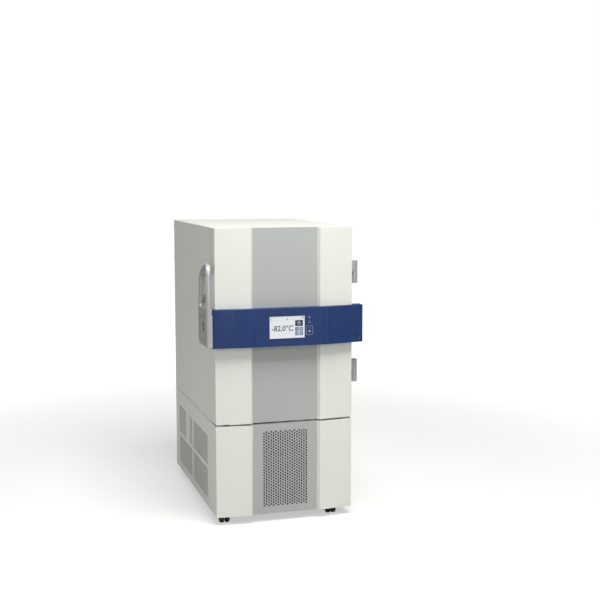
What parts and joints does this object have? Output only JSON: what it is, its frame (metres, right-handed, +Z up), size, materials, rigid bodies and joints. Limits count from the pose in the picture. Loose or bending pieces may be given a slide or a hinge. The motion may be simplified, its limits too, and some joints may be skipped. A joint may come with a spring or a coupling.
{
  "type": "ultra low temperature freezer",
  "caption": "Upright laboratory freezer with a winged front, insulated outer door, inner doors and shelves, lever latch, touch screen band, perforated machine cover and swivel castors.",
  "frame": {"origin": "on the floor, in the middle of the outline seen from above", "axes": "+Z up, -Y to the front where the door is, +X to the right seen from the front"},
  "size_m": [0.826, 1.1754, 1.507],
  "materials": {
    "white_paint": "satin powder coat",
    "grey_paint": "satin powder coat",
    "blue_paint": "satin paint",
    "handle_paint": "satin paint",
    "hinge_paint": "satin paint",
    "liner_steel": "brushed",
    "hardware_steel": "zinc plated",
    "foam": "rigid foam, matte",
    "inner_plastic": "moulded, satin",
    "gasket_rubber": "matte",
    "screen": "glossy",
    "black_plastic": "matte",
    "aluminium": "mill finish",
    "compressor_paint": "gloss black paint",
    "pipe_metal": "drawn tube",
    "filter_mat": "matte",
    "plug_rubber": "matte",
    "wheel_plastic": "matte"
  },
  "bodies": {
    "cabinet": {"cabinet_shell": "white_paint", "breaker_frame": "inner_plastic", "cabinet_foam": "foam", "cabinet_liner": "liner_steel", "evaporator_coil": "pipe_metal", "shelves": "liner_steel", "shelf_clips": "hardware_steel", "inner_stop_frame": "inner_plastic", "inner_hinge_brackets": "hardware_steel", "port_sleeve": "inner_plastic", "cabinet_hinge_leaves": "hinge_paint", "hinge_pins": "hardware_steel", "striker": "hardware_steel", "base_pan": "hardware_steel", "corner_posts": "hardware_steel", "left_side_panel": "white_paint", "right_side_panel": "white_paint", "rear_panel": "white_paint", "power_inlet": "black_plastic", "condenser": "aluminium", "fan_shroud": "black_plastic", "fan_motor": "black_plastic", "first_compressor": "compressor_paint", "second_compressor": "compressor_paint", "compressor_feet": "gasket_rubber", "refrigerant_pipes": "pipe_metal", "control_box": "black_plastic", "castor_plates": "hardware_steel"},
    "door": {"door_shell": "white_paint", "door_centre_strip": "grey_paint", "door_liner": "inner_plastic", "door_foam": "foam", "door_gasket": "gasket_rubber", "door_hinge_leaves": "hinge_paint", "control_band": "blue_paint", "touch_screen": "screen", "lock_housing": "handle_paint", "lever_pin": "hardware_steel", "lock_escutcheon": "black_plastic"},
    "lever": {"handle_lever": "handle_paint", "latch_hook": "hardware_steel"},
    "lock": {"lock_cylinder": "hardware_steel"},
    "upper_inner_door": {"upper_inner_door": "inner_plastic"},
    "lower_inner_door": {"lower_inner_door": "inner_plastic"},
    "fan": {"fan_rotor": "black_plastic"},
    "cover": {"cover_wings": "white_paint", "cover_grille": "grey_paint", "air_filter": "filter_mat"},
    "port_plug": {"port_plug": "plug_rubber"},
    "fork_front_left": {"fork_front_left": "hardware_steel"},
    "wheels_front_left": {"wheels_front_left": "wheel_plastic"},
    "fork_front_right": {"fork_front_right": "hardware_steel"},
    "wheels_front_right": {"wheels_front_right": "wheel_plastic"},
    "fork_rear_left": {"fork_rear_left": "hardware_steel"},
    "wheels_rear_left": {"wheels_rear_left": "wheel_plastic"},
    "fork_rear_right": {"fork_rear_right": "hardware_steel"},
    "wheels_rear_right": {"wheels_rear_right": "wheel_plastic"},
    "brake_front_left": {"brake_front_left": "black_plastic"},
    "brake_front_right": {"brake_front_right": "black_plastic"}
  },
  "joints": [
    {"name": "door_hinge", "type": "hinge", "parent": "cabinet", "child": "door", "pos_m": [0.395, -0.45865, 1.01], "axis": [0, 0, 1], "range_deg": [0, 110]},
    {"name": "upper_inner_hinge", "type": "hinge", "parent": "cabinet", "child": "upper_inner_door", "pos_m": [0.222, -0.41815, 1.19725], "axis": [0, 0, 1], "range_deg": [0, 88]},
    {"name": "lower_inner_hinge", "type": "hinge", "parent": "cabinet", "child": "lower_inner_door", "pos_m": [0.222, -0.41815, 0.82975], "axis": [0, 0, 1], "range_deg": [0, 88]},
    {"name": "lever_pivot", "type": "hinge", "parent": "door", "child": "lever", "pos_m": [-0.401, -0.55665, 1.096], "axis": [1, 0, 0], "range_deg": [0, 45]},
    {"name": "lock_turn", "type": "hinge", "parent": "door", "child": "lock", "pos_m": [-0.406, -0.49465, 1.017], "axis": [1, 0, 0], "range_deg": [0, 90]},
    {"name": "fan_spin", "type": "hinge", "parent": "cabinet", "child": "fan", "pos_m": [-0.001, -0.33535, 0.253], "axis": [0, 1, 0], "continuous": true},
    {"name": "cover_slide", "type": "slide", "parent": "cabinet", "child": "cover", "axis": [0, -1, 0], "range_m": [0, 0.15]},
    {"name": "port_plug_slide", "type": "slide", "parent": "cabinet", "child": "port_plug", "axis": [0, 1, 0], "range_m": [0, 0.07]},
    {"name": "swivel_front_left", "type": "hinge", "parent": "cabinet", "child": "fork_front_left", "pos_m": [-0.311, -0.46265, 0.066], "axis": [0, 0, 1], "continuous": true},
    {"name": "roll_front_left", "type": "hinge", "parent": "fork_front_left", "child": "wheels_front_left", "pos_m": [-0.311, -0.48065, 0.025], "axis": [1, 0, 0], "continuous": true},
    {"name": "brake_pedal_front_left", "type": "hinge", "parent": "fork_front_left", "child": "brake_front_left", "pos_m": [-0.311, -0.46465, 0.057], "axis": [1, 0, 0], "range_deg": [0, 8]},
    {"name": "swivel_front_right", "type": "hinge", "parent": "cabinet", "child": "fork_front_right", "pos_m": [0.261, -0.46265, 0.066], "axis": [0, 0, 1], "continuous": true},
    {"name": "roll_front_right", "type": "hinge", "parent": "fork_front_right", "child": "wheels_front_right", "pos_m": [0.261, -0.48065, 0.025], "axis": [1, 0, 0], "continuous": true},
    {"name": "brake_pedal_front_right", "type": "hinge", "parent": "fork_front_right", "child": "brake_front_right", "pos_m": [0.261, -0.46465, 0.057], "axis": [1, 0, 0], "range_deg": [0, 8]},
    {"name": "swivel_rear_left", "type": "hinge", "parent": "cabinet", "child": "fork_rear_left", "pos_m": [-0.311, 0.47335, 0.066], "axis": [0, 0, 1], "continuous": true},
    {"name": "roll_rear_left", "type": "hinge", "parent": "fork_rear_left", "child": "wheels_rear_left", "pos_m": [-0.311, 0.45535, 0.025], "axis": [1, 0, 0], "continuous": true},
    {"name": "swivel_rear_right", "type": "hinge", "parent": "cabinet", "child": "fork_rear_right", "pos_m": [0.261, 0.47335, 0.066], "axis": [0, 0, 1], "continuous": true},
    {"name": "roll_rear_right", "type": "hinge", "parent": "fork_rear_right", "child": "wheels_rear_right", "pos_m": [0.261, 0.45535, 0.025], "axis": [1, 0, 0], "continuous": true}
  ],
  "couplings": [
    {"joint": "upper_inner_hinge", "follows": "door_hinge", "ratio": 0.8},
    {"joint": "lower_inner_hinge", "follows": "door_hinge", "ratio": 0.8}
  ]
}
